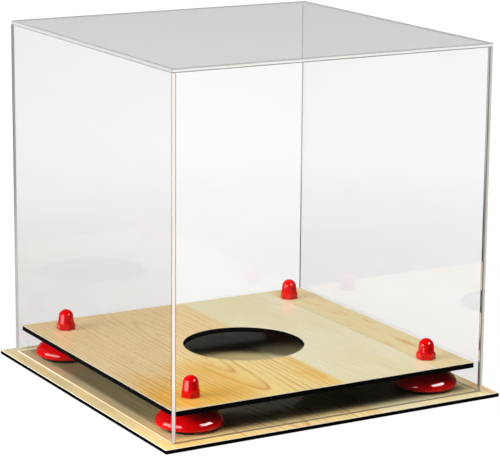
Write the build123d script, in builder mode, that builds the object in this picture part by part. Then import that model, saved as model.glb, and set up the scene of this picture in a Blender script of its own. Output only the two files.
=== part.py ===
from build123d import *
import math
import os

# Display case for one ball: a raised deck on four domed risers above a base
# plate, all bolted through, with a clear five-sided cover standing on the base.
# Units are millimetres. +Z is up, the front is the -Y side, and the origin is
# the middle of the base plate's underside.

# ---------------------------------------------------------------- dimensions
COVER_SIZE = 254.0        # outside width, depth and height of the clear cover
WALL = 2.8                # clear sheet thickness
WELD = 0.05               # cement line between two glued panels
BREAK = 0.2               # broken arris along the cover's outside edges

BASE_SIZE = 272.0         # base plate, square
BASE_T = 2.7              # black sheet of the base
DECK_SIZE = 244.0         # raised deck, square
DECK_T = 3.7              # black sheet of the deck
FILM_T = 0.3              # wood-grain laminate on top of each sheet
PLATE_BREAK = 0.25        # broken lower arris of the two black sheets
CORNER_R = 0.6            # vertical corners of the plates

GAP_HEIGHT = 17.5         # clear height between base and deck
POST = 97.0               # distance of each post from both centre lines
BALL_HOLE_R = 45.0        # round hole in the deck that the ball sits in

SCREW_R = 2.4             # screw shank
HOLE_R = 2.6              # clearance hole for the shank
HEAD_R = 4.83             # countersunk head at its widest
HEAD_SINK = 0.25          # head lies this far inside the underside
CSK_R = 4.85              # countersink radius at the underside
RECESS_W = 1.1            # blade width of the cross recess
RECESS_L = 5.0            # length of the cross recess
RECESS_D = 1.3            # depth of the cross recess
SCREW_PAST_NUT = 2.0      # thread showing above the nut
SCREW_TIP = 0.6           # chamfer on the screw's end

NUT_AF = 9.5              # hexagon nut across flats
NUT_H = 4.0

FOOT_R = 19.3             # black disc under each riser
FOOT_H = 4.0
FOOT_EDGE = 0.3

LIP_Z = 2.3               # lower lip of the riser above the base
MOUTH_R = 19.5            # open underside of the riser, over the disc
COLLAR_R = 7.0            # flat collar that carries the deck
BOSS_R = 6.0              # tube inside the riser, around the screw

CAP_AF = 12.4             # nut cap's hexagonal skirt
CAP_SKIRT_H = 4.5
CAP_H = 14.9
CAP_R_LOW = 5.95          # barrel radius just above the skirt
CAP_R_TOP = 5.5           # radius of the rounded end
CAP_GAP = 0.3             # running gap under the cap
CAP_IN_AF = 10.2          # hexagonal pocket over the nut
CAP_IN_H = 4.4            # depth of that pocket
CAP_IN_R = 4.3            # round cavity above the pocket
COVER_GAP = 0.3           # running gap under the cover

# Turn of each nut and cap about its post, in degrees
TURN = {"front_left": 0.0, "back_left": 20.6, "front_right": 25.5, "back_right": 9.0}

# ------------------------------------------------------------- derived levels
Z_FILM = BASE_T                        # underside of the base laminate
Z_BASE = BASE_T + FILM_T               # top of the base
Z_DECK = Z_BASE + GAP_HEIGHT           # underside of the deck
Z_DECK_FILM = Z_DECK + DECK_T          # underside of the deck laminate
Z_TOP = Z_DECK_FILM + FILM_T           # top of the deck
Z_NUT = Z_TOP + NUT_H                  # top of the nut
Z_SCREW = Z_NUT + SCREW_PAST_NUT       # end of the screw
Z_CAP = Z_TOP + CAP_GAP                # underside of the nut cap
Z_COVER = Z_BASE + COVER_GAP           # underside of the cover walls
HALF = COVER_SIZE / 2.0
INNER = HALF - WALL

POSTS = {
    "front_left": (-POST, -POST),
    "front_right": (POST, -POST),
    "back_left": (-POST, POST),
    "back_right": (POST, POST),
}
POST_POINTS = list(POSTS.values())

os.makedirs("parts", exist_ok=True)


def save(part, name):
    part.label = name
    export_step(part, "parts/" + name + ".step")


# ------------------------------------------------------------------ base plate
# Black sheet, countersunk from below for the four screws.
with BuildPart() as base_plate:
    with BuildSketch(Plane.XY):
        RectangleRounded(BASE_SIZE, BASE_SIZE, CORNER_R)
    extrude(amount=BASE_T)
    chamfer(base_plate.faces().sort_by(Axis.Z)[0].edges(), PLATE_BREAK)
    with BuildSketch(Plane.XY):
        with Locations(*POST_POINTS):
            Circle(HOLE_R)
    extrude(amount=BASE_T, mode=Mode.SUBTRACT)
    for point in POST_POINTS:
        with BuildSketch(Plane.XZ.offset(-point[1])):
            with BuildLine():
                Polyline(
                    (point[0], -0.01),
                    (point[0] + CSK_R, -0.01),
                    (point[0] + CSK_R, HEAD_SINK),
                    (point[0] + HOLE_R, HEAD_SINK + CSK_R - HOLE_R),
                    (point[0], HEAD_SINK + CSK_R - HOLE_R),
                    close=True,
                )
            make_face()
        revolve(axis=Axis((point[0], point[1], 0), (0, 0, 1)), mode=Mode.SUBTRACT)
save(base_plate.part, "base_plate")

# ---------------------------------------------------------- base wood laminate
with BuildPart() as base_wood_film:
    with BuildSketch(Plane.XY.offset(Z_FILM)):
        RectangleRounded(BASE_SIZE, BASE_SIZE, CORNER_R)
        with Locations(*POST_POINTS):
            Circle(HOLE_R, mode=Mode.SUBTRACT)
    extrude(amount=FILM_T)
save(base_wood_film.part, "base_wood_film")

# ------------------------------------------------------------------ deck plate
# Black sheet with the ball's seat hole in the middle and four screw holes.
with BuildPart() as deck_plate:
    with BuildSketch(Plane.XY.offset(Z_DECK)):
        RectangleRounded(DECK_SIZE, DECK_SIZE, CORNER_R)
    extrude(amount=DECK_T)
    chamfer(deck_plate.faces().sort_by(Axis.Z)[0].edges(), PLATE_BREAK)
    with BuildSketch(Plane.XY.offset(Z_DECK)):
        Circle(BALL_HOLE_R)
        with Locations(*POST_POINTS):
            Circle(HOLE_R)
    extrude(amount=DECK_T, mode=Mode.SUBTRACT)
save(deck_plate.part, "deck_plate")

# ---------------------------------------------------------- deck wood laminate
with BuildPart() as deck_wood_film:
    with BuildSketch(Plane.XY.offset(Z_DECK_FILM)):
        RectangleRounded(DECK_SIZE, DECK_SIZE, CORNER_R)
        Circle(BALL_HOLE_R, mode=Mode.SUBTRACT)
        with Locations(*POST_POINTS):
            Circle(HOLE_R, mode=Mode.SUBTRACT)
    extrude(amount=FILM_T)
save(deck_wood_film.part, "deck_wood_film")

# ---------------------------------------------------------------------- risers
# A hollow moulded dome: a low rounded rim, a domed back that narrows towards
# the deck, a flat collar on top and a tube inside for the screw.
DOME = [
    (22.75, 4.3),
    (22.4, 6.1),
    (21.25, 8.1),
    (19.1, 10.1),
    (15.6, 12.1),
    (11.5, 13.75),
    (7.5, 14.95),
]
INSIDE = [
    (20.65, 4.6),
    (20.0, 6.6),
    (18.0, 8.5),
    (15.0, 10.1),
    (10.5, 11.9),
    (BOSS_R, 13.0),
]


def at(profile, x):
    return [(x + r, Z_BASE + z) for r, z in profile]


for place, (px, py) in POSTS.items():
    with BuildPart() as riser:
        with BuildSketch(Plane.XZ.offset(-py)):
            with BuildLine():
                rim_in = (px + 20.9, Z_BASE + LIP_Z)
                rim_low = (px + 21.7, Z_BASE + LIP_Z + 0.1)
                rim_mid = (px + 22.45, Z_BASE + 3.0)
                dome = at(DOME, px)
                Line((px + MOUTH_R, Z_BASE + LIP_Z), rim_in)
                Spline(rim_in, rim_low, rim_mid, dome[0],
                       tangents=[(1, 0), (0, 1)])
                Spline(*dome, tangents=[(0, 1), (-1, 0.27)])
                shoulder = (px + COLLAR_R, Z_BASE + 15.5)
                ThreePointArc(dome[-1],
                              (px + COLLAR_R + 0.12, Z_BASE + 15.16),
                              shoulder)
                Polyline(shoulder,
                         (px + COLLAR_R, Z_DECK),
                         (px + HOLE_R, Z_DECK),
                         (px + HOLE_R, Z_BASE + FOOT_H),
                         (px + BOSS_R, Z_BASE + FOOT_H),
                         (px + BOSS_R, Z_BASE + INSIDE[-1][1]))
                inner = at(INSIDE, px)
                Spline(*reversed(inner), tangents=[(1, -0.2), (0, -1)])
                Polyline(inner[0],
                         (px + MOUTH_R, Z_BASE + FOOT_H + 0.05),
                         (px + MOUTH_R, Z_BASE + LIP_Z))
            make_face()
        revolve(axis=Axis((px, py, 0), (0, 0, 1)))
    save(riser.part, "riser_" + place)

# --------------------------------------------------------- discs under risers
for place, (px, py) in POSTS.items():
    with BuildPart() as riser_foot:
        with BuildSketch(Plane.XY.offset(Z_BASE)):
            with Locations((px, py)):
                Circle(FOOT_R)
        extrude(amount=FOOT_H)
        chamfer(riser_foot.faces().sort_by(Axis.Z)[0].edges(), FOOT_EDGE)
        chamfer(riser_foot.faces().sort_by(Axis.Z)[-1].edges(), FOOT_EDGE)
        with BuildSketch(Plane.XY.offset(Z_BASE)):
            with Locations((px, py)):
                Circle(HOLE_R)
        extrude(amount=FOOT_H, mode=Mode.SUBTRACT)
    save(riser_foot.part, "riser_foot_" + place)

# ---------------------------------------------------------------------- screws
# Countersunk screw up through base, riser and deck, with a cross recess below.
for place, (px, py) in POSTS.items():
    with BuildPart() as screw:
        with BuildSketch(Plane.XZ.offset(-py)):
            with BuildLine():
                Polyline(
                    (px, HEAD_SINK),
                    (px + HEAD_R, HEAD_SINK),
                    (px + SCREW_R, HEAD_SINK + HEAD_R - SCREW_R),
                    (px + SCREW_R, Z_SCREW - SCREW_TIP),
                    (px + SCREW_R - SCREW_TIP, Z_SCREW),
                    (px, Z_SCREW),
                    close=True,
                )
            make_face()
        revolve(axis=Axis((px, py, 0), (0, 0, 1)))
        with BuildSketch(Plane.XY.offset(HEAD_SINK)):
            with Locations((px, py)):
                Rectangle(RECESS_L, RECESS_W, rotation=TURN[place] + 20)
                Rectangle(RECESS_W, RECESS_L, rotation=TURN[place] + 20)
        extrude(amount=RECESS_D, taper=8, mode=Mode.SUBTRACT)
    save(screw.part, "screw_" + place)

# ------------------------------------------------------------------------ nuts
for place, (px, py) in POSTS.items():
    with BuildPart() as nut:
        with BuildSketch(Plane.XY.offset(Z_TOP)):
            with Locations((px, py)):
                RegularPolygon(NUT_AF / 2, 6, major_radius=False, rotation=TURN[place])
        extrude(amount=NUT_H)
        # corners turned back at 30 degrees, top and bottom
        with BuildSketch(Plane.XZ.offset(-py)):
            with BuildLine():
                edge = NUT_AF / 2 * 1.16
                drop = (edge - NUT_AF / 2 * 0.98) * math.tan(math.radians(30))
                Polyline(
                    (px, Z_TOP),
                    (px + NUT_AF / 2 * 0.98, Z_TOP),
                    (px + edge, Z_TOP + drop),
                    (px + edge, Z_NUT - drop),
                    (px + NUT_AF / 2 * 0.98, Z_NUT),
                    (px, Z_NUT),
                    close=True,
                )
            make_face()
        revolve(axis=Axis((px, py, 0), (0, 0, 1)), mode=Mode.INTERSECT)
        with BuildSketch(Plane.XY.offset(Z_TOP)):
            with Locations((px, py)):
                Circle(SCREW_R + 0.02)
        extrude(amount=NUT_H, mode=Mode.SUBTRACT)
    save(nut.part, "nut_" + place)

# -------------------------------------------------------------------- nut caps
# Hexagonal skirt with turned-back upper corners, a slightly tapering barrel
# and a rounded end. Inside, a hexagonal pocket for the nut and a round cavity
# for the screw's end.
for place, (px, py) in POSTS.items():
    corner = CAP_AF / 2 / math.cos(math.radians(30))
    with BuildPart() as nut_cap:
        with BuildSketch(Plane.XY.offset(Z_CAP)):
            with Locations((px, py)):
                RegularPolygon(CAP_AF / 2, 6, major_radius=False, rotation=TURN[place])
        extrude(amount=CAP_SKIRT_H + 1.0)
        with BuildSketch(Plane.XZ.offset(-py)):
            with BuildLine():
                Polyline(
                    (px, Z_CAP),
                    (px + corner - 0.25, Z_CAP),
                    (px + corner + 0.05, Z_CAP + 0.25),
                    (px + corner + 0.05, Z_CAP + CAP_SKIRT_H - 0.75),
                    (px + CAP_R_LOW + 0.02, Z_CAP + CAP_SKIRT_H + 0.3),
                    (px, Z_CAP + CAP_SKIRT_H + 0.3),
                    close=True,
                )
            make_face()
        revolve(axis=Axis((px, py, 0), (0, 0, 1)), mode=Mode.INTERSECT)
        # barrel and rounded end
        with BuildSketch(Plane.XZ.offset(-py)):
            with BuildLine():
                top = Z_CAP + CAP_H
                centre_z = top - CAP_R_TOP
                Polyline(
                    (px, Z_CAP + 1.0),
                    (px + CAP_R_LOW, Z_CAP + 1.0),
                    (px + CAP_R_LOW, Z_CAP + CAP_SKIRT_H + 0.3),
                    (px + CAP_R_TOP, centre_z),
                )
                ThreePointArc(
                    (px + CAP_R_TOP, centre_z),
                    (px + CAP_R_TOP * math.cos(math.radians(45)),
                     centre_z + CAP_R_TOP * math.sin(math.radians(45))),
                    (px, top),
                )
                Line((px, top), (px, Z_CAP + 1.0))
            make_face()
        revolve(axis=Axis((px, py, 0), (0, 0, 1)))
        # pocket for the nut
        with BuildSketch(Plane.XY.offset(Z_CAP)):
            with Locations((px, py)):
                RegularPolygon(CAP_IN_AF / 2, 6, major_radius=False, rotation=TURN[place])
        extrude(amount=CAP_IN_H, mode=Mode.SUBTRACT)
        # cavity above it
        with BuildSketch(Plane.XZ.offset(-py)):
            with BuildLine():
                low = Z_CAP + CAP_IN_H - 0.1
                mid = Z_CAP + CAP_H - 1.3 - CAP_IN_R
                Polyline((px, low), (px + CAP_IN_R, low), (px + CAP_IN_R, mid))
                ThreePointArc(
                    (px + CAP_IN_R, mid),
                    (px + CAP_IN_R * math.cos(math.radians(45)),
                     mid + CAP_IN_R * math.sin(math.radians(45))),
                    (px, mid + CAP_IN_R),
                )
                Line((px, mid + CAP_IN_R), (px, low))
            make_face()
        revolve(axis=Axis((px, py, 0), (0, 0, 1)), mode=Mode.SUBTRACT)
    save(nut_cap.part, "nut_cap_" + place)

# ----------------------------------------------------------------- clear cover
# The top panel lies over all four walls. The side walls run the full depth,
# and the front and back walls stand between them.
Z_WALL_TOP = Z_COVER + COVER_SIZE - WALL

with BuildPart() as cover_top:
    with BuildSketch(Plane.XY.offset(Z_WALL_TOP)):
        Rectangle(COVER_SIZE, COVER_SIZE)
    extrude(amount=WALL)
    chamfer(cover_top.edges().filter_by(Axis.Z), BREAK)
    chamfer(cover_top.faces().sort_by(Axis.Z)[-1].edges(), BREAK)
save(cover_top.part, "cover_top")

for name, side in (("cover_left", -1), ("cover_right", 1)):
    with BuildPart() as side_wall:
        with BuildSketch(Plane.XY.offset(Z_COVER)):
            with Locations((side * (HALF - WALL / 2), 0)):
                Rectangle(WALL, COVER_SIZE)
        extrude(amount=COVER_SIZE - WALL - WELD)
        outer = side_wall.edges().filter_by(Axis.Z).group_by(Axis.X)[0 if side < 0 else -1]
        chamfer(outer, BREAK)
    save(side_wall.part, name)

for name, side in (("cover_front", -1), ("cover_back", 1)):
    with BuildPart() as end_wall:
        with BuildSketch(Plane.XY.offset(Z_COVER)):
            with Locations((0, side * (HALF - WALL / 2))):
                Rectangle(COVER_SIZE - 2 * (WALL + WELD), WALL)
        extrude(amount=COVER_SIZE - WALL - WELD)
    save(end_wall.part, name)

print("top of the deck", Z_TOP, "top of the cover", Z_COVER + COVER_SIZE)
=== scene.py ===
import math

import bmesh
import bpy
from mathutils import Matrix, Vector


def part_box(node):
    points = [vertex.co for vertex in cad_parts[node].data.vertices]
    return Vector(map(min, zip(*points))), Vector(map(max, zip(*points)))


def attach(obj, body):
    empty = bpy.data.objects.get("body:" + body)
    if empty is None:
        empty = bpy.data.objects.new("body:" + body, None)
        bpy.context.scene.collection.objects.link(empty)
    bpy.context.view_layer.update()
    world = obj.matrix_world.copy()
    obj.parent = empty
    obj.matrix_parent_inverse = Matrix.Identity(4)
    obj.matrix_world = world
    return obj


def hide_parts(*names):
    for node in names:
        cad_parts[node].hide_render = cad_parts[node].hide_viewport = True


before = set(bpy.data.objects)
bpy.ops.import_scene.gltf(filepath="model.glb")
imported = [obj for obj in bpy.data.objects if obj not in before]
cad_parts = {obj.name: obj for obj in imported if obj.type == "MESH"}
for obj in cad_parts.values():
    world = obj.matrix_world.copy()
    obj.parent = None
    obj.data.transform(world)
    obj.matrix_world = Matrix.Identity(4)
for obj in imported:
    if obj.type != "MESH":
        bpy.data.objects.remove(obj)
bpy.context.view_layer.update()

scene = bpy.context.scene
MM = 0.001


# --------------------------------------------------------------------- helpers
def lin(r, g, b):
    """An sRGB colour, 0 to 255, as linear light."""
    out = []
    for c in (r, g, b):
        c /= 255.0
        out.append(c / 12.92 if c <= 0.04045 else ((c + 0.055) / 1.055) ** 2.4)
    return (*out, 1.0)


class Graph:
    """A short way to write a node material."""

    def __init__(self, name):
        self.mat = bpy.data.materials.new(name)
        self.mat.use_nodes = True
        self.tree = self.mat.node_tree
        self.tree.nodes.clear()
        self.out = self.tree.nodes.new("ShaderNodeOutputMaterial")
        self.coord = None

    def node(self, kind, **props):
        n = self.tree.nodes.new(kind)
        for k, v in props.items():
            setattr(n, k, v)
        return n

    def put(self, socket, value):
        if isinstance(value, bpy.types.NodeSocket):
            self.tree.links.new(value, socket)
        elif value is not None:
            socket.default_value = value

    def math(self, op, a, b=None, c=None, clamp=False):
        n = self.node("ShaderNodeMath", operation=op, use_clamp=clamp)
        for i, v in enumerate((a, b, c)):
            self.put(n.inputs[i], v)
        return n.outputs[0]

    def add(self, a, b):
        return self.math("ADD", a, b)

    def sub(self, a, b):
        return self.math("SUBTRACT", a, b)

    def mul(self, a, b):
        return self.math("MULTIPLY", a, b)

    def step(self, x, a, b):
        """0 at a, 1 at b, smooth between them."""
        n = self.node("ShaderNodeMapRange", interpolation_type="SMOOTHSTEP")
        self.put(n.inputs["Value"], x)
        n.inputs["From Min"].default_value = a
        n.inputs["From Max"].default_value = b
        return n.outputs[0]

    def fit(self, x, a, b, c, d):
        n = self.node("ShaderNodeMapRange")
        self.put(n.inputs["Value"], x)
        for k, v in zip(("From Min", "From Max", "To Min", "To Max"), (a, b, c, d)):
            n.inputs[k].default_value = v
        return n.outputs[0]

    def mm(self):
        """Object coordinates in millimetres, and x, y, z on their own."""
        if self.coord is None:
            tc = self.node("ShaderNodeTexCoord")
            v = self.node("ShaderNodeVectorMath", operation="SCALE")
            self.put(v.inputs[0], tc.outputs["Object"])
            v.inputs["Scale"].default_value = 1000.0
            s = self.node("ShaderNodeSeparateXYZ")
            self.put(s.inputs[0], v.outputs[0])
            self.coord = (v.outputs[0], s.outputs[0], s.outputs[1], s.outputs[2])
        return self.coord

    def vec(self, x, y, z):
        n = self.node("ShaderNodeCombineXYZ")
        for i, v in enumerate((x, y, z)):
            self.put(n.inputs[i], v)
        return n.outputs[0]

    def noise(self, vector, scale=1.0, detail=2.0, rough=0.5, distortion=0.0):
        n = self.node("ShaderNodeTexNoise")
        self.put(n.inputs["Vector"], vector)
        n.inputs["Scale"].default_value = scale
        n.inputs["Detail"].default_value = detail
        n.inputs["Roughness"].default_value = rough
        n.inputs["Distortion"].default_value = distortion
        return n.outputs["Fac"] if "Fac" in n.outputs else n.outputs[0]

    def mix(self, fac, a, b, blend="MIX"):
        n = self.node("ShaderNodeMix", data_type="RGBA", blend_type=blend)
        self.put(n.inputs[0], fac)
        self.put(n.inputs[6], a)
        self.put(n.inputs[7], b)
        return n.outputs[2]

    def ramp(self, fac, stops):
        n = self.node("ShaderNodeValToRGB")
        cr = n.color_ramp
        while len(cr.elements) < len(stops):
            cr.elements.new(0.5)
        for e, (p, c) in zip(cr.elements, stops):
            e.position = p
            e.color = c if hasattr(c, "__len__") else (c, c, c, 1.0)
        self.put(n.inputs[0], fac)
        return n.outputs[0]

    def bump(self, height, strength, distance, normal=None):
        n = self.node("ShaderNodeBump")
        n.inputs["Strength"].default_value = strength
        n.inputs["Distance"].default_value = distance
        self.put(n.inputs["Height"], height)
        self.put(n.inputs["Normal"], normal)
        return n.outputs[0]

    def principled(self, **values):
        n = self.node("ShaderNodeBsdfPrincipled")
        for k, v in values.items():
            self.put(n.inputs[k.replace("_", " ")], v)
        return n

    def finish(self, shader):
        out = shader.outputs[0] if hasattr(shader, "outputs") else shader
        self.tree.links.new(out, self.out.inputs["Surface"])
        return self.mat

    def upright(self):
        """1 on faces that stand upright, 0 on level ones, from the surface's own normal."""
        g = self.node("ShaderNodeNewGeometry")
        s = self.node("ShaderNodeSeparateXYZ")
        self.put(s.inputs[0], g.outputs["True Normal"])
        return self.math("LESS_THAN", self.math("ABSOLUTE", s.outputs[2]), 0.6)


# ------------------------------------------------------------------- materials
def wood(name, seam, second_seam, heart_x, shift, depth0, slope, orange_y, half, figure, gold, tones):
    """Printed maple laminate with a satin film. The grain runs along Y.
    Left of seam the figure is warm heartwood with cathedral arcs round heart_x;
    right of it is pale sapwood; a second seam starts a third strip.
    figure is how strongly the rings are printed, half the sheet's half width, and gold
    the centre and half axes of a deeper golden patch."""
    g = Graph(name)
    v, x, y, z = g.mm()
    # slow wander of the grain, then a finer shake
    wander = g.noise(g.vec(g.mul(x, 0.014), g.mul(y, 0.0042), shift), 1.0, 2.0)
    shake = g.noise(g.vec(g.mul(x, 0.07), g.mul(y, 0.016), shift + 4), 1.0, 2.0)
    xw = g.add(x, g.add(g.fit(wander, 0, 1, -7.0, 7.0), g.fit(shake, 0, 1, -1.2, 1.2)))
    # rings cut by the board: the pith lies depth0 + slope*y under the face
    depth = g.math("MULTIPLY_ADD", y, slope, depth0)
    dx = g.sub(xw, heart_x)
    r = g.math("SQRT", g.add(g.mul(dx, dx), g.mul(depth, depth)))
    uneven = g.noise(g.vec(g.mul(r, 0.09), shift, 2.0), 1.0, 2.0)
    q = g.add(g.mul(r, 0.225), g.mul(uneven, 1.9))
    f = g.math("FRACT", q)
    ring = g.ramp(f, [(0.0, 0.08), (0.10, 0.0), (0.55, 0.05), (0.80, 0.46), (0.905, 1.0), (0.965, 0.40), (1.0, 0.08)])
    idn = g.math("FLOOR", q)
    per_ring = g.noise(g.vec(g.mul(idn, 1.37), g.mul(y, 0.010), shift + 9), 1.0, 1.0)
    along = g.noise(g.vec(g.mul(x, 0.05), g.mul(y, 0.020), shift + 2), 1.0, 2.0)
    line = g.mul(ring, g.mul(g.fit(per_ring, 0.30, 0.68, 0.25, 1.0), g.fit(along, 0.30, 0.65, 0.40, 1.0)))
    # the figure is strongest towards the front and fades to plain grain behind
    fade = g.fit(g.step(g.add(y, g.mul(x, -0.30)), orange_y + 60.0, orange_y - 40.0), 0, 1, 0.62, 1.0)
    line = g.mul(line, fade)
    # strips
    sap = g.step(x, seam - 1.1, seam + 1.1)
    third = g.step(x, second_seam - 0.5, second_seam + 0.5)
    # heartwood: honey towards the front, beige towards the back, blotched
    patch = g.noise(g.vec(g.mul(x, 0.020), g.mul(y, 0.012), shift + 6), 1.0, 2.0)
    warm = g.add(g.step(g.add(y, g.mul(x, -0.35)), orange_y + 70.0, orange_y - 40.0),
                 g.fit(patch, 0.35, 0.7, -0.30, 0.30))
    warm = g.math("MINIMUM", g.math("MAXIMUM", warm, 0.0), 1.0)
    amber = g.step(g.noise(g.vec(g.mul(x, 0.030), g.mul(y, 0.016), shift + 11), 1.0, 2.0), 0.46, 0.72)
    gx, gy = g.mul(g.sub(x, gold[0]), 1.0 / gold[2]), g.mul(g.sub(y, gold[1]), 1.0 / gold[3])
    reach = g.add(g.math("SQRT", g.add(g.mul(gx, gx), g.mul(gy, gy))), g.fit(patch, 0.3, 0.7, 0.25, -0.25))
    amber = g.math("MAXIMUM", g.mul(amber, 0.55), g.step(reach, 1.25, 0.60))
    honey = g.mix(amber, tones["honey"], tones["amber"])
    heart = g.mix(warm, tones["beige"], honey)
    heart_line = g.mix(warm, tones["beige_line"], tones["honey_line"])
    pale = g.mix(g.step(patch, 0.35, 0.65), tones["pale"], tones["pale_deep"])
    blotch = g.step(g.noise(g.vec(g.mul(x, 0.11), g.mul(y, 0.030), shift + 15), 1.0, 3.0), 0.50, 0.72)
    outer = g.mix(blotch, tones["outer"], tones["outer_fleck"])
    body = g.mix(sap, heart, g.mix(third, pale, outer))
    ink = g.mix(sap, heart_line, tones["pale_line"])
    strength = g.math("MULTIPLY_ADD", g.sub(1.0, sap), figure - 0.20, 0.20)
    col = g.mix(g.mul(line, strength), body, ink)
    # the joints between printed strips are thin darker lines
    for s, k in ((seam, 0.16), (second_seam, 0.30)):
        near = g.step(g.math("ABSOLUTE", g.sub(x, s)), 0.75, 0.15)
        col = g.mix(g.mul(near, k), col, tones["joint"])
    # fine fibre and short dark pores
    fibre = g.noise(g.vec(g.mul(xw, 1.5), g.mul(y, 0.035), shift + 1), 1.0, 3.0, 0.6)
    col = g.mix(g.fit(fibre, 0.32, 0.66, 0.0, 0.24), col, tones["fibre"], "MULTIPLY")
    pore = g.noise(g.vec(g.mul(xw, 1.7), g.mul(y, 0.20), shift + 3), 1.0, 2.0, 0.6)
    pore_share = g.noise(g.vec(g.mul(x, 0.03), g.mul(y, 0.02), shift + 8), 1.0, 1.0)
    dash = g.mul(g.step(pore, 0.58, 0.72), g.fit(pore_share, 0.35, 0.65, 0.12, 0.55))
    col = g.mix(g.mul(dash, g.math("MULTIPLY_ADD", sap, -0.55, 1.0)), col, tones["pore"])
    # the film's face is pale in a band about half a millimetre wide along its rim, and its cut edge shows the film's
    # pale core
    far = g.math("MAXIMUM", g.math("ABSOLUTE", x), g.math("ABSOLUTE", y))
    rim_wobble = g.noise(v, 0.8, 2.0)
    rim = g.step(g.add(far, g.fit(rim_wobble, 0.3, 0.7, -0.10, 0.10)), half - 0.62, half - 0.42)
    layer = g.noise(g.vec(g.mul(x, 0.3), g.mul(y, 0.3), g.mul(z, 9.0)), 1.0, 2.0)
    edge = g.mix(g.fit(layer, 0.3, 0.7, 0.0, 1.0), lin(246, 240, 222), lin(236, 226, 198))
    col = g.mix(g.math("MAXIMUM", g.mul(rim, 0.85), g.upright()), col, edge)
    # satin face: roughness follows the pores and faint handling marks
    mark = g.noise(g.vec(g.mul(x, 0.022), g.mul(y, 0.022), shift + 20), 1.0, 3.0)
    rough = g.add(g.fit(mark, 0.3, 0.7, 0.085, 0.125), g.mul(dash, 0.05))
    peel = g.noise(v, 0.35, 2.0)
    height = g.add(g.mul(fibre, 0.5), g.add(g.mul(dash, -0.4), g.mul(peel, 0.6)))
    nrm = g.bump(height, 0.12, 0.00005)
    return g.finish(g.principled(Base_Color=col, Roughness=rough, IOR=1.5, Normal=nrm))


def black_sheet():
    """Polished black sheet. Its cut edges are flame polished, a little duller than the face."""
    g = Graph("black_sheet_polished")
    v, x, y, z = g.mm()
    up = g.upright()
    smudge = g.noise(v, 0.018, 4.0, 0.6)
    dust = g.step(g.noise(v, 0.9, 2.0), 0.74, 0.82)
    col = g.mix(g.fit(smudge, 0.35, 0.7, 0.0, 1.0), lin(4, 3, 3), lin(8, 7, 7))
    col = g.mix(g.mul(dust, g.fit(up, 0, 1, 0.25, 0.0)), col, lin(44, 42, 40))
    # faint lines across the thickness, left by the cut
    cut = g.noise(g.vec(g.mul(x, 0.5), g.mul(y, 0.5), g.mul(z, 0.10)), 1.0, 2.0, 0.5)
    col = g.mix(g.mul(up, g.fit(cut, 0.4, 0.7, 0.0, 0.25)), col, lin(13, 11, 11))
    rough = g.add(g.fit(smudge, 0.3, 0.7, 0.05, 0.12), g.mul(up, g.fit(cut, 0.3, 0.7, 0.10, 0.18)))
    nrm = g.bump(g.mul(up, cut), 0.12, 0.00004)
    return g.finish(g.principled(Base_Color=col, Roughness=rough, IOR=1.49, Specular_IOR_Level=0.04, Normal=nrm))


def red_plastic(name, deep, light, low):
    """Glossy moulded red plastic with a slight orange peel and a deeper tone in its lows."""
    g = Graph(name)
    v, x, y, z = g.mm()
    cloud = g.noise(v, 0.11, 3.0, 0.55)
    speck = g.noise(v, 1.7, 2.0)
    col = g.mix(g.fit(cloud, 0.3, 0.7, 0.0, 1.0), deep, light)
    col = g.mix(g.mul(g.step(speck, 0.60, 0.78), 0.20), col, low)
    peel = g.noise(v, 0.75, 2.0, 0.5)
    fine = g.noise(v, 4.0, 1.0)
    rough = g.add(g.fit(cloud, 0.3, 0.7, 0.05, 0.09), g.mul(g.step(speck, 0.55, 0.8), 0.04))
    nrm = g.bump(g.add(peel, g.mul(fine, 0.12)), 0.10, 0.00008)
    return g.finish(g.principled(Base_Color=col, Roughness=rough, IOR=1.5, Specular_IOR_Level=0.0,
                                 Coat_Weight=1.0, Coat_IOR=1.4, Coat_Roughness=0.015, Coat_Normal=nrm, Normal=nrm))


def black_disc():
    """Satin black disc with a fine moulded grain and faint turned rings."""
    g = Graph("black_disc_satin")
    v, x, y, z = g.mm()
    grain = g.noise(v, 2.2, 3.0, 0.6)
    cloud = g.noise(v, 0.09, 2.0)
    # distance from the nearest post, for the turned rings
    px = g.sub(g.math("ABSOLUTE", x), 97.0)
    py = g.sub(g.math("ABSOLUTE", y), 97.0)
    r = g.math("SQRT", g.add(g.mul(px, px), g.mul(py, py)))
    rings = g.math("SINE", g.mul(r, 7.0))
    col = g.mix(g.fit(cloud, 0.3, 0.7, 0.0, 1.0), lin(22, 20, 18), lin(34, 31, 27))
    col = g.mix(g.mul(g.step(grain, 0.55, 0.75), 0.4), col, lin(50, 47, 42))
    rough = g.fit(grain, 0.3, 0.7, 0.38, 0.58)
    nrm = g.bump(g.add(grain, g.mul(rings, 0.15)), 0.35, 0.0001)
    return g.finish(g.principled(Base_Color=col, Roughness=rough, IOR=1.5, Specular_IOR_Level=0.12, Normal=nrm))


def zinc():
    """Bright zinc plating: faint blue and straw tints, brushed by the tumbling."""
    g = Graph("zinc_plated_steel")
    v, x, y, z = g.mm()
    tint = g.noise(v, 0.22, 3.0, 0.6)
    fine = g.noise(v, 3.2, 3.0, 0.65)
    col = g.ramp(tint, [(0.30, lin(196, 198, 204)), (0.5, lin(206, 205, 200)), (0.70, lin(198, 190, 172))])
    col = g.mix(g.mul(g.step(fine, 0.58, 0.8), 0.5), col, lin(150, 148, 144))
    rough = g.add(g.fit(fine, 0.3, 0.7, 0.20, 0.36), g.fit(tint, 0.3, 0.7, 0.0, 0.08))
    nrm = g.bump(fine, 0.2, 0.00006)
    return g.finish(g.principled(Base_Color=col, Metallic=0.80, Roughness=rough, Normal=nrm))


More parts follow.
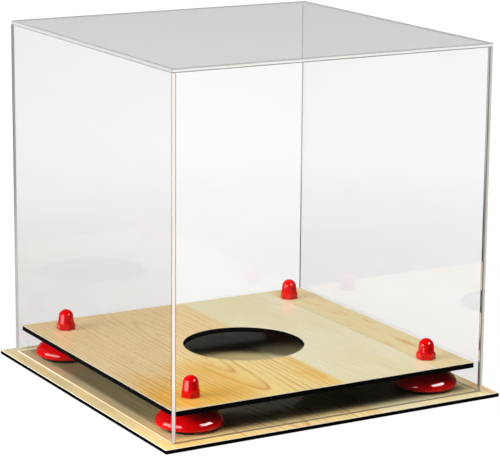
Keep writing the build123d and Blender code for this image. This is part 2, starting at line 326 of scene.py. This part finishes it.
def clear_sheet():
    """Clear cast sheet. Light for what stands inside passes straight through with a small
    loss: shadow rays by the outer mix, bounced light by the inner one."""
    g = Graph("clear_sheet_face")
    v, x, y, z = g.mm()
    haze = g.noise(v, 0.012, 3.0, 0.6)
    wipe = g.noise(g.vec(g.mul(x, 0.03), g.mul(y, 0.03), g.mul(z, 0.004)), 1.0, 2.0)
    col = g.mix(g.fit(haze, 0.3, 0.7, 0.0, 1.0), (0.985, 0.985, 0.982, 1.0), (0.995, 0.995, 0.993, 1.0))
    rough = g.fit(wipe, 0.35, 0.7, 0.0, 0.006)
    wave = g.noise(v, 0.006, 1.0)
    nrm = g.bump(wave, 0.05, 0.0005)
    glass = g.principled(Base_Color=col, Roughness=rough, IOR=1.49, Transmission_Weight=1.0, Normal=nrm)
    clear = g.node("ShaderNodeBsdfTransparent")
    clear.inputs[0].default_value = (0.965, 0.965, 0.965, 1.0)
    path = g.node("ShaderNodeLightPath")
    inner = g.node("ShaderNodeMixShader")
    g.put(inner.inputs[0], path.outputs["Is Diffuse Ray"])
    g.put(inner.inputs[1], glass.outputs[0])
    g.put(inner.inputs[2], clear.outputs[0])
    m = g.node("ShaderNodeMixShader")
    g.put(m.inputs[0], path.outputs["Is Shadow Ray"])
    g.put(m.inputs[1], inner.outputs[0])
    g.put(m.inputs[2], clear.outputs[0])
    return g.finish(m)


def cut_end(name, stops, axis, a, b, foot=None, share=0.60, glow=0.46, saw_scale=0.9):
    """A sawn and scraped end of the clear sheet, painted with the light, shade and reflections
    that show in it. stops are these painted tones across the sheet's thickness, from a to b
    along axis; foot is (z high, z low, tone), a painted tone towards which it changes
    downwards. The light that runs along inside the sheet is painted as an emitted glow in
    the same tones."""
    g = Graph(name)
    v, x, y, z = g.mm()
    saw = g.noise(g.vec(g.mul(x, saw_scale), g.mul(y, saw_scale), g.mul(z, saw_scale)), 1.0, 3.0, 0.6)
    sway = g.noise(g.mix(0.0, v, v), 0.035, 3.0, 0.6)
    u = g.add(g.fit((x, y, z)[axis], a, b, 0.0, 1.0), g.fit(sway, 0.3, 0.7, -0.06, 0.06))
    col = g.ramp(u, stops)
    if foot is not None:
        col = g.mix(g.step(z, foot[0], foot[1]), col, foot[2])
    col = g.mix(g.fit(saw, 0.35, 0.7, 0.0, 0.16), col, lin(170, 168, 166), "MULTIPLY")
    rough = g.fit(saw, 0.3, 0.7, 0.15, 0.30)
    nrm = g.bump(saw, 0.2, 0.00005)
    base = g.node("ShaderNodeVectorMath", operation="SCALE")
    g.put(base.inputs[0], col)
    base.inputs["Scale"].default_value = share
    # painted light: the end glows in its own painted tones, standing in for light carried along the sheet
    painted_glow = g.node("ShaderNodeVectorMath", operation="SCALE")
    g.put(painted_glow.inputs[0], col)
    painted_glow.inputs["Scale"].default_value = glow
    return g.finish(g.principled(Base_Color=base.outputs[0], Roughness=rough, IOR=1.49,
                                 Specular_IOR_Level=0.10, Normal=nrm,
                                 Emission_Color=painted_glow.outputs[0], Emission_Strength=1.0))


DECK_TONES = {
    "honey": lin(226, 203, 136), "amber": lin(220, 174, 74), "beige": lin(224, 199, 153),
    "beige_line": lin(168, 124, 66), "honey_line": lin(180, 106, 24), "pale": lin(221, 216, 186),
    "pale_deep": lin(218, 210, 174), "pale_line": lin(196, 182, 134), "outer": lin(220, 204, 160),
    "outer_fleck": lin(208, 170, 108), "joint": lin(186, 160, 108), "fibre": lin(206, 176, 122),
    "pore": lin(170, 140, 96),
}
BASE_TONES = dict(DECK_TONES, honey=lin(238, 214, 154), amber=lin(238, 204, 126), beige=lin(192, 177, 132),
                  beige_line=lin(178, 150, 92), pale=lin(228, 219, 176), pale_deep=lin(224, 212, 160))

MATS = {
    "deck_wood": wood("maple_laminate_deck", seam=13.0, second_seam=91.0, heart_x=-42.0, shift=1.7,
                      depth0=1.7, slope=-0.117, orange_y=-30.0, half=122.0, figure=1.0, gold=(-92.0, -76.0, 50.0, 60.0), tones=DECK_TONES),
    "base_wood": wood("maple_laminate_base", seam=37.0, second_seam=124.0, heart_x=-30.0, shift=7.3,
                      depth0=3.0, slope=-0.10, orange_y=-40.0, half=136.0, figure=1.0, gold=(-110.0, -150.0, 50.0, 30.0), tones=BASE_TONES),
    "black": black_sheet(),
    "red": red_plastic("red_riser_plastic", lin(222, 0, 4), lin(233, 1, 6), lin(196, 0, 6)),
    "red_cap": red_plastic("red_cap_vinyl", lin(196, 0, 3), lin(208, 1, 5), lin(172, 0, 5)),
    "disc": black_disc(),
    "zinc": zinc(),
    "face": clear_sheet(),
    # ends painted with the light, shade and reflections seen in them: those that catch the light, and those that only
    # show it through the sheet
    "front_strip": cut_end("clear_sheet_end_front", [(0.0, lin(232, 222, 216)), (0.25, lin(250, 241, 233)),
                           (0.75, lin(252, 244, 234)), (1.0, lin(232, 220, 208))], 0, -127.0, -124.2,
                           foot=(44.0, 2.0, lin(206, 196, 202)), glow=0.71),
    "top_front": cut_end("clear_sheet_end_top_front", [(0.0, lin(206, 206, 203)), (0.12, lin(204, 204, 201)),
                         (0.26, lin(242, 241, 236)), (0.55, lin(246, 245, 240)), (0.68, lin(206, 206, 203)),
                         (0.84, lin(186, 186, 183)), (1.0, lin(196, 196, 193))], 2, 254.5, 257.3, glow=0.66),
    "top_left": cut_end("clear_sheet_end_top_left", [(0.0, lin(206, 206, 204)), (0.28, lin(214, 214, 211)),
                        (0.55, lin(222, 221, 218)), (0.72, lin(204, 203, 201)), (1.0, lin(192, 192, 190))],
                        2, 254.5, 257.3, share=0.36, glow=0.46),
    "far": cut_end("clear_sheet_end_far", [(0.0, lin(188, 188, 186)), (0.5, lin(176, 176, 174)),
                   (1.0, lin(184, 184, 182))], 2, 254.5, 257.3, share=0.3, glow=0.80, saw_scale=0.4),
    "back_upright": cut_end("clear_sheet_end_back", [(0.0, lin(196, 196, 194)), (1.0, lin(206, 206, 204))],
                            0, 124.2, 127.0, share=0.3, glow=0.85, saw_scale=0.4),
    "left_upright": cut_end("clear_sheet_end_left", [(0.0, lin(98, 98, 96)), (0.6, lin(104, 104, 102)),
                            (1.0, lin(122, 122, 120))], 0, -127.0, -124.2,
                            foot=(150.0, 64.0, lin(176, 176, 173)), share=0.3, glow=1.15, saw_scale=0.4),
    "on_wood": cut_end("clear_sheet_end_on_wood", [(0.0, lin(236, 224, 192)), (0.5, lin(247, 240, 220)),
                       (1.0, lin(238, 226, 198))], 0, -127.0, -124.2, share=0.5, glow=0.60),
    # the left wall's foot chamfer, painted light: cream at the back, duller forward, with a brown line of painted
    # shade along its top
    "foot_left": cut_end("clear_sheet_foot_left", [(0.0, lin(214, 190, 152)), (0.4, lin(216, 192, 156)),
                         (0.6, lin(230, 206, 172)), (0.8, lin(240, 220, 188)), (1.0, lin(242, 224, 196))],
                         1, -127.0, 127.0, foot=(4.08, 4.28, lin(150, 105, 55)), share=0.5, glow=0.60),
    # the front wall's foot is painted brown, a painted shade line where it stands on the base
    "front_foot": cut_end("clear_sheet_end_front_foot", [(0.0, lin(150, 118, 76)), (1.0, lin(172, 138, 92))],
                          1, -127.0, -124.2, share=0.5, glow=0.12),
    # the right wall's front end is painted with the shade and reflections seen through the sheet, as upright bands:
    # dark, tan, cream and a cold rim
    "right_strip": cut_end("clear_sheet_end_right", [(0.0, lin(122, 119, 118)), (0.24, lin(132, 126, 122)),
                           (0.36, lin(208, 198, 176)), (0.55, lin(224, 217, 200)), (0.74, lin(232, 228, 218)),
                           (0.88, lin(204, 211, 220)), (1.0, lin(190, 198, 210))], 0, 124.2, 127.0,
                           share=0.52, glow=0.50),
    # the broken arrises are painted grey with a faint glow, the painted lines of light and shade that the bevels show
    "arris": cut_end("clear_sheet_arris", [(0.0, lin(172, 172, 172)), (1.0, lin(172, 172, 172))],
                     2, 0.0, 260.0, share=0.6, glow=0.30),
}


def paint(node, key):
    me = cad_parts[node].data
    me.materials.clear()
    me.materials.append(MATS[key])
    for p in me.polygons:
        p.material_index = 0


PLACES = ("front_left", "front_right", "back_left", "back_right")
paint("base_plate", "black")
paint("deck_plate", "black")
paint("base_wood_film", "base_wood")
paint("deck_wood_film", "deck_wood")
for place in PLACES:
    paint("riser_" + place, "red")
    paint("nut_cap_" + place, "red_cap")
    paint("riser_foot_" + place, "disc")
    paint("screw_" + place, "zinc")
    paint("nut_" + place, "zinc")


# ------------------------------------------------------------------ clear cover
def panel(node, axis, ends, break_mm=0.22, foot=None):
    """A flat sheet in the CAD node's own box, with broken arrises, split by material:
    its two faces, its sawn ends and the arrises. ends gives the finish of each end by its
    direction, such as "-y". foot is (side, width, finish) for a wider scraped chamfer
    along the foot on the side that faces into the case."""
    lo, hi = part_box(node)
    bm = bmesh.new()
    bmesh.ops.create_cube(bm, size=1.0)
    for v in bm.verts:
        v.co = Vector([lo[i] + (v.co[i] + 0.5) * (hi[i] - lo[i]) for i in range(3)])
    if foot is not None:
        side, width, finish = foot
        low = [e for e in bm.edges
               if all(abs(v.co[2] - lo[2]) < 1e-6 and (v.co[axis] - 0.5 * (lo[axis] + hi[axis])) * side > 0
                      for v in e.verts)]
        bmesh.ops.bevel(bm, geom=low, offset=width * MM, segments=1, affect="EDGES")
        bm.normal_update()
    slopes = [f for f in bm.faces if foot is not None and 0.5 < abs(f.normal[2]) < 0.9]
    edges = [e for e in bm.edges if not any(f in slopes for f in e.link_faces)]
    bmesh.ops.bevel(bm, geom=edges, offset=break_mm * MM, segments=2, profile=0.5, affect="EDGES")
    bm.normal_update()
    used = set(ends.values()) | ({foot[2]} if foot is not None else set())
    keys = ["face", "arris"] + sorted(used - {"face", "arris"})
    for f in bm.faces:
        if foot is not None and f.calc_area() > 0.5 * foot[1] * MM * (hi[1 - axis] - lo[1 - axis]) \
                and abs(abs(f.normal[2]) - math.sqrt(0.5)) < 0.01:
            f.material_index = keys.index(foot[2])
            f.smooth = False
            continue
        n = f.normal
        big = max(range(3), key=lambda i: abs(n[i]))
        if abs(n[big]) > 0.9999:
            way = ("+" if n[big] > 0 else "-") + "xyz"[big]
            f.material_index = 0 if big == axis else keys.index(ends[way])
        else:
            f.material_index = 1
        f.smooth = False
    me = bpy.data.meshes.new("clear_" + node)
    bm.to_mesh(me)
    bm.free()
    for key in keys:
        me.materials.append(MATS[key])
    o = bpy.data.objects.new("clear_" + node, me)
    scene.collection.objects.link(o)
    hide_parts(node)
    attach(o, "cover")
    return o


panel("cover_top", 2, {"-y": "top_front", "-x": "top_left", "+y": "far", "+x": "far"}, 0.30)
panel("cover_left", 0, {"-y": "front_strip", "+y": "left_upright", "+z": "face", "-z": "on_wood"}, 0.22, (1, 1.15, "foot_left"))
panel("cover_right", 0, {"-y": "right_strip", "+y": "back_upright", "+z": "face", "-z": "face"}, 0.22)
panel("cover_front", 1, {"-x": "face", "+x": "face", "+z": "face", "-z": "front_foot"}, 0.18)
panel("cover_back", 1, {"-x": "left_upright", "+x": "face", "+z": "face", "-z": "on_wood"}, 0.18, (1, 0.9, "on_wood"))


# ------------------------------------------------------------------------ stage
def floor():
    me = bpy.data.meshes.new("floor")
    n, rad = 96, 9.0
    verts = [(rad * math.cos(2 * math.pi * i / n), rad * math.sin(2 * math.pi * i / n), -0.0002) for i in range(n)]
    me.from_pydata(verts, [], [list(range(n))])
    o = bpy.data.objects.new("floor", me)
    scene.collection.objects.link(o)
    g = Graph("floor_paper")
    v, x, y, z = g.mm()
    tooth = g.noise(v, 0.02, 3.0)
    col = g.mix(g.fit(tooth, 0.3, 0.7, 0.0, 1.0), (0.07, 0.07, 0.07, 1.0), (0.09, 0.09, 0.09, 1.0))
    # the light under the paper grows away from the object
    r = g.math("SQRT", g.add(g.mul(x, x), g.mul(y, y)))
    glow = g.fit(g.step(r, 260.0, 900.0), 0, 1, 0.90, 0.99)
    seen = g.principled(Base_Color=col, Roughness=0.9, Specular_IOR_Level=0.0, Emission_Strength=1.0)
    # what polished surfaces mirror of the floor: a dark ground near the object, pale further off
    far = g.fit(g.step(r, 330.0, 800.0), 0, 1, 0.0, 0.50)
    dim = g.principled(Base_Color=(0.012, 0.012, 0.012, 1.0), Roughness=0.9, Specular_IOR_Level=0.0,
                       Emission_Strength=1.0)
    g.put(dim.inputs["Emission Color"], g.vec(far, far, far))
    path = g.node("ShaderNodeLightPath")
    up = g.mul(glow, g.math("MULTIPLY_ADD", g.math("MINIMUM", path.outputs["Diffuse Depth"], 1.0), -0.5, 1.0))
    g.put(seen.inputs["Emission Color"], g.vec(up, up, up))
    m = g.node("ShaderNodeMixShader")
    only = g.math("MINIMUM", path.outputs["Glossy Depth"], 1.0)
    g.put(m.inputs[0], only)
    g.put(m.inputs[1], seen.outputs[0])
    g.put(m.inputs[2], dim.outputs[0])
    me.materials.append(g.finish(m))


floor()


def softbox(name, azimuth, elevation, distance, width, height, radiance, target=(0, 0, 0.06)):
    """A rectangular area light; azimuth 0 is the front, 90 the right."""
    a, e = math.radians(azimuth), math.radians(elevation)
    d = Vector((math.sin(a) * math.cos(e), -math.cos(a) * math.cos(e), math.sin(e)))
    data = bpy.data.lights.new(name, "AREA")
    data.shape = "RECTANGLE"
    data.size, data.size_y = width, height
    data.energy = radiance * math.pi * width * height
    o = bpy.data.objects.new(name, data)
    o.location = Vector(target) + d * distance
    o.rotation_mode = "QUATERNION"
    o.rotation_quaternion = (-d).to_track_quat("-Z", "Y")
    scene.collection.objects.link(o)
    o.visible_camera = False
    return o


# the banks light the object; what polished surfaces mirror is the hot cloth of two boxes
for bank in (softbox("key_left", -95, 17, 1.7, 1.2, 0.7, 14.5),
             softbox("fill_right", 25, 60, 1.8, 1.5, 1.0, 1.9),
             softbox("overhead", -30, 82, 2.2, 2.2, 1.6, 5.7)):
    bank.visible_glossy = False
    bank.visible_transmission = False
# the hot cloth is for the gloss of the red parts; wood and clear sheet would only glare in
# it. The clear sheet doesn't shade it, the solid parts do
risers = bpy.data.collections.new("glossy_risers")
caps = bpy.data.collections.new("glossy_caps")
metal = bpy.data.collections.new("bright_metal")
solids = bpy.data.collections.new("solids")
solids_and_floor = bpy.data.collections.new("solids_and_floor")
solids_and_floor.objects.link(bpy.data.objects["floor"])
for node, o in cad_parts.items():
    if node.startswith(("riser_front", "riser_back")):
        risers.objects.link(o)
    if node.startswith("nut_cap_"):
        caps.objects.link(o)
    elif node.startswith(("nut_", "screw_")):
        metal.objects.link(o)
    if not node.startswith("cover_"):
        solids.objects.link(o)
        solids_and_floor.objects.link(o)


def hot_card(receivers, blockers, *where):
    """A card that shows in the gloss of the receivers, but not in a mirror image of them."""
    o = softbox(*where)
    o.visible_diffuse = False
    o.light_linking.receiver_collection = receivers
    o.light_linking.blocker_collection = blockers
    o.data.use_nodes = True
    tree = o.data.node_tree
    emission = next(n for n in tree.nodes if n.type == "EMISSION")
    first = tree.nodes.new("ShaderNodeMath")
    first.operation = "LESS_THAN"
    first.inputs[1].default_value = 1.5
    tree.links.new(tree.nodes.new("ShaderNodeLightPath").outputs["Glossy Depth"], first.inputs[0])
    tree.links.new(first.outputs[0], emission.inputs["Strength"])


hot_card(risers, solids_and_floor, "mirrored_left", -88, 16, 1.15, 1.26, 0.52, 13.0)
hot_card(risers, solids_and_floor, "mirrored_right", 29, 35, 0.86, 0.66, 0.30, 25.0)
# the one for the caps' upright sides reaches below the floor's level
hot_card(caps, solids, "mirrored_left_tall", -88, 5, 1.15, 1.26, 0.98, 8.0)
hot_card(caps, solids, "mirrored_right_soft", 29, 35, 0.86, 0.60, 0.30, 12.0)
hot_card(metal, solids, "mirrored_over", -30, 65, 1.2, 2.0, 1.6, 1.2)
hot_card(metal, solids, "mirrored_left_metal", -88, 22, 1.15, 1.6, 0.9, 2.2)

world = bpy.data.worlds.new("studio")
scene.world = world
world.use_nodes = True
wt = world.node_tree
wt.nodes.clear()
w_out = wt.nodes.new("ShaderNodeOutputWorld")
w_bg = wt.nodes.new("ShaderNodeBackground")
w_tc = wt.nodes.new("ShaderNodeTexCoord")
w_sep = wt.nodes.new("ShaderNodeSeparateXYZ")
wt.links.new(w_tc.outputs["Generated"], w_sep.inputs[0])


def w_range(src, a, b, c, d):
    n = wt.nodes.new("ShaderNodeMapRange")
    n.interpolation_type = "SMOOTHSTEP"
    wt.links.new(src, n.inputs["Value"])
    for k, v in zip(("From Min", "From Max", "To Min", "To Max"), (a, b, c, d)):
        n.inputs[k].default_value = v
    return n.outputs[0]


# dim towards the front, brighter behind; one grey level for each direction
back_side = w_range(w_sep.outputs[1], -0.10, 0.60, 0.02, 0.52)
w_bg.inputs["Color"].default_value = (1.0, 0.995, 0.985, 1.0)
# polished parts inside the cover mirror less of it than the cover itself does
w_path = wt.nodes.new("ShaderNodeLightPath")


def w_math(op, a, b, clamp=False):
    n = wt.nodes.new("ShaderNodeMath")
    n.operation = op
    n.use_clamp = clamp
    for i, v in enumerate((a, b)):
        if isinstance(v, bpy.types.NodeSocket):
            wt.links.new(v, n.inputs[i])
        else:
            n.inputs[i].default_value = v
    return n.outputs[0]


inside = w_math("MULTIPLY", w_math("MINIMUM", w_path.outputs["Glossy Depth"], 1.0),
                w_math("GREATER_THAN", w_path.outputs["Transmission Depth"], 2.5))
bounced = w_math("MINIMUM", w_path.outputs["Diffuse Depth"], 1.0)
level = w_math("MULTIPLY", back_side, w_math("SUBTRACT", 1.0, w_math("MULTIPLY", inside, 0.75)))
level = w_math("MULTIPLY", level, w_math("SUBTRACT", 1.0, w_math("MULTIPLY", bounced, 0.70)))
wt.links.new(level, w_bg.inputs["Strength"])
wt.links.new(w_bg.outputs[0], w_out.inputs["Surface"])

# ----------------------------------------------------------------------- camera
az, el, roll = map(math.radians, (-29.946, 13.085, 0.475))
back = Vector((math.sin(az) * math.cos(el), -math.cos(az) * math.cos(el), math.sin(el)))
right = Vector((math.cos(az), math.sin(az), 0.0))
up = back.cross(right)
R = math.cos(roll) * right + math.sin(roll) * up
U = -math.sin(roll) * right + math.cos(roll) * up
C = 0.004544 * right + 0.106255 * up + 1.676885 * back + Vector((0, 0, 0.003))
cam_data = bpy.data.cameras.new("camera")
cam_data.lens = 162.185
cam_data.sensor_width = 36.0
cam_data.clip_start = 0.05
cam_data.clip_end = 50.0
cam = bpy.data.objects.new("camera", cam_data)
scene.collection.objects.link(cam)
m = cam.matrix_world.copy()
for i in range(3):
    m[i][0], m[i][1], m[i][2], m[i][3] = R[i], U[i], back[i], C[i]
cam.matrix_world = m
scene.camera = cam

scene.view_settings.view_transform = "Standard"
scene.view_settings.look = "None"
scene.cycles.max_bounces = 20
scene.cycles.transmission_bounces = 20
scene.cycles.transparent_max_bounces = 20
scene.cycles.sample_clamp_indirect = 24.0
scene.cycles.caustics_reflective = False
scene.cycles.caustics_refractive = False
